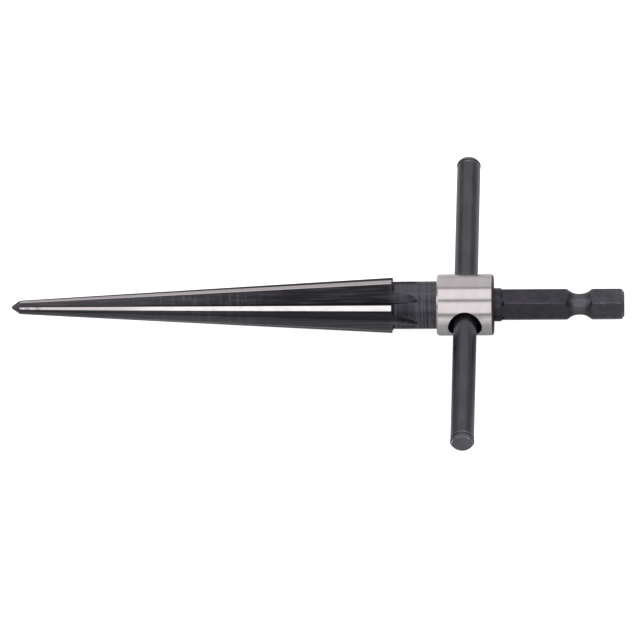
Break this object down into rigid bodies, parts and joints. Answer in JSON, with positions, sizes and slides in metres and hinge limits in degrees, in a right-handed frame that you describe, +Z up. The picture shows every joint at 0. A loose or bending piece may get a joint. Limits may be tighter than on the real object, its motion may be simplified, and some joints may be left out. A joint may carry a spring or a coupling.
{
  "type": "taper reamer",
  "caption": "Straight-fluted taper reamer with a bright collar, a sliding tommy bar and a hexagonal shank, for opening out holes in sheet and wood by hand or in a drill.",
  "frame": {"origin": "centre of the hexagonal shank's end face, on the tool's axis", "axes": "+X along the tool's axis, from the point towards the shank's end; Y along the tommy bar; +Z up as it lies on a table with the bar level"},
  "size_m": [0.1302, 0.0803, 0.013],
  "materials": {
    "blackened_steel": "black oxide, satin, with bright ground lands",
    "bright_steel": "fine turned",
    "bar_steel": "black oxide, satin"
  },
  "bodies": {
    "reamer": {"reamer_body": "blackened_steel", "collar": "bright_steel"},
    "bar": {"tommy_bar": "bar_steel"}
  },
  "joints": [
    {"name": "bar_slide", "type": "slide", "parent": "reamer", "child": "bar", "axis": [0, 1, 0], "range_m": [-0.0348, 0.0331]}
  ]
}
